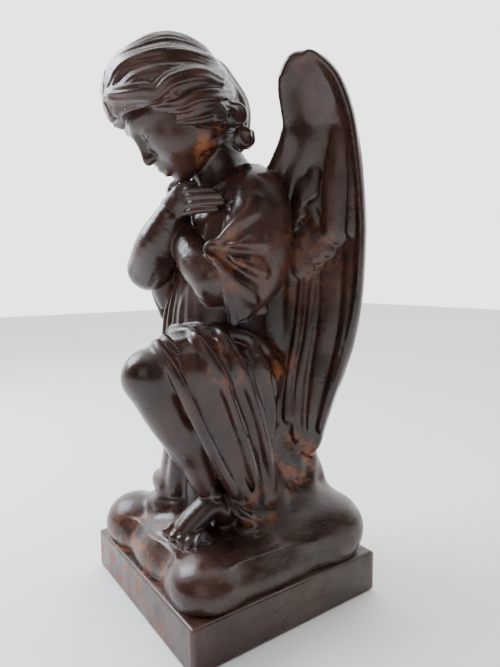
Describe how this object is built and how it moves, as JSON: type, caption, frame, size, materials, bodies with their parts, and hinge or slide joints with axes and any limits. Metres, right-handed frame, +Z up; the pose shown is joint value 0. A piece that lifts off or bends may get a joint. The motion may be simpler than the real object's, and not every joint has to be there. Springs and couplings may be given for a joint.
{
  "type": "kneeling angel statue",
  "caption": "Child angel kneeling on a cloud over a square plinth, arms crossed on the chest, head bowed and long feathered wings open behind.",
  "frame": {"origin": "centre of the plinth's underside, on the ground", "axes": "+Z up; the angel faces -Y; +X is to the angel's own left, the side of its raised knee"},
  "size_m": [0.3302, 0.332, 0.7707],
  "materials": {
    "bronzed_stone": "dark bronze-brown gloss paint on cast stone, worn to rust brown on edges and in folds"
  },
  "bodies": {
    "root": {"kneeling_angel": "bronzed_stone"}
  },
  "joints": []
}
